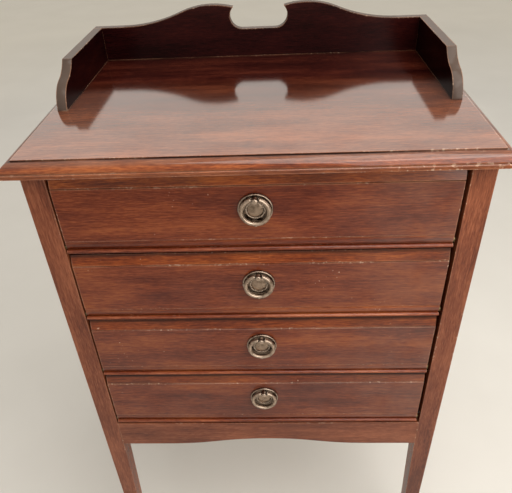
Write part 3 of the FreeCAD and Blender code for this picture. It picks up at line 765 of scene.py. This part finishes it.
def make_plate_pins(drawer):
    """Two pin heads on the outside of each pivot plate."""
    low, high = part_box(f"{drawer}_pivot_plates")
    mesh = bmesh.new()
    for x, outward in ((low.x, -1), (high.x, 1)):
        for share in PIN_PLACES:
            foot = Vector((x, low.y + (high.y - low.y) * share, (low.z + high.z) / 2))
            add_dome(mesh, foot, (outward, 0, 0), PIN_HEAD, PIN_HEAD_HEIGHT)
    hand_in(f"{drawer}_plate_pins", mesh, brass, drawer)


for drawer in DRAWERS:
    make_ring_crown(drawer)
    make_plate_trim(drawer)
    make_plate_pins(drawer)


# Lamps
def area_light(name, stand, target, width, height, power, tint):
    """A soft rectangular lamp that the camera does not see."""
    data = bpy.data.lights.new(name, "AREA")
    data.shape = "RECTANGLE"
    data.size = width
    data.size_y = height
    data.energy = power
    data.color = tint
    lamp = bpy.data.objects.new(name, data)
    lamp.location = stand
    lamp.rotation_euler = (Vector(target) - Vector(stand)).to_track_quat("-Z", "Y").to_euler()
    lamp.visible_camera = False
    bpy.context.scene.collection.objects.link(lamp)


area_light("above", stand=(0.45, -0.5, 2.3), target=(0, 0, 0.6), width=1.8, height=1.6, power=31,
           tint=(1.0, 0.97, 0.92))
area_light("right", stand=(0.85, -0.80, 1.2), target=(0, 0, 0.6), width=1.3, height=1.3, power=14,
           tint=(1.0, 0.97, 0.93))
area_light("behind", stand=(0, 2.4, 2.0), target=(0, 0, 0.8), width=3.4, height=1.7, power=18,
           tint=(0.96, 0.93, 0.87))

# Room: light from all round, from overhead and from behind, and what the camera and mirrors see
ROOM_TINT = (0.92, 0.87, 0.79)
ALL_ROUND = 0.20
OVERHEAD = 0.35
OVERHEAD_RISE = (0.0, 0.7)
BEHIND = 0.40
BEHIND_TURN = (0.0, 0.8)
SEEN = 0.75


def room(name):
    """Plain room light: brighter overhead and behind the cabinet, dim on the viewer's side."""
    world = bpy.data.worlds.new(name)
    world.use_nodes = True
    tree = world.node_tree
    direction = node(tree, "TexCoord", {}).outputs["Generated"]
    overhead = product(tree, between(tree, part_along(tree, direction, "Z"), *OVERHEAD_RISE), OVERHEAD)
    behind = product(tree, between(tree, part_along(tree, direction, "Y"), *BEHIND_TURN), BEHIND)
    light = total(tree, overhead, behind, ALL_ROUND)
    rays = node(tree, "LightPath", {}).outputs
    ray_kinds = (rays["Is Camera Ray"], rays["Is Glossy Ray"], rays["Is Transmission Ray"])
    seen = calculate(tree, "MAXIMUM", *ray_kinds)
    strength = node(tree, "Mix", {"Factor": seen, "A": light, "B": SEEN}).outputs["Result"]
    background = tree.nodes["Background"]
    background.inputs["Color"].default_value = colour(ROOM_TINT)
    feed(tree, background.inputs["Strength"], strength)
    return world


bpy.context.scene.world = room("room")

# Floor
FLOOR_HALF = 6.0
FLOOR_NEAR = ((0.62, 0.60, 0.56), (0.65, 0.63, 0.59))
FLOOR_FAR = ((0.86, 0.82, 0.73), (0.89, 0.85, 0.76))
NEAR_RADIUS = 4.0
MOTTLE_SIZE = 0.25
MOTTLE_STOPS = (0.3, 0.7)
FLOOR_ROUGHNESS = 0.6


def floor_material():
    """Pale matt floor with a faint mottle, paler far away from the cabinet."""
    material, tree, shader = new_tree("pale_floor")
    mottle = noise(tree, even(tree, MOTTLE_SIZE), detail=4.0)
    near = ramp(tree, mottle, MOTTLE_STOPS, FLOOR_NEAR)
    far = ramp(tree, mottle, MOTTLE_STOPS, FLOOR_FAR)
    close = near_mask(tree, (0, 0, 0), NEAR_RADIUS)
    feed(tree, shader.inputs["Base Color"], mix(tree, close, far, near))
    shader.inputs["Roughness"].default_value = FLOOR_ROUGHNESS
    return material


floor_mesh = bpy.data.meshes.new("floor")
corners = [(x * FLOOR_HALF, y * FLOOR_HALF, 0) for x, y in ((-1, -1), (1, -1), (1, 1), (-1, 1))]
floor_mesh.from_pydata(corners, [], [(0, 1, 2, 3)])
floor_mesh.materials.append(floor_material())
floor = bpy.data.objects.new("floor", floor_mesh)
bpy.context.scene.collection.objects.link(floor)

# Camera
camera_data = bpy.data.cameras.new("camera")
camera_data.sensor_width = SENSOR
camera_data.lens = SENSOR * FOCAL_PIXELS / PICTURE_WIDTH
camera_data.clip_start = NEAREST_SEEN
camera = bpy.data.objects.new("camera", camera_data)
camera_turns = ((CAMERA_ROLL, "Y"), (-CAMERA_PITCH, "X"), (CAMERA_YAW, "Z"), (90, "X"))
aim = Matrix.Identity(4)
for degrees, axis in camera_turns:
    aim = aim @ Matrix.Rotation(math.radians(degrees), 4, axis)
camera.matrix_world = Matrix.Translation(CAMERA_PLACE) @ aim
bpy.context.scene.collection.objects.link(camera)
bpy.context.scene.camera = camera
bpy.context.scene.view_settings.view_transform = "Standard"
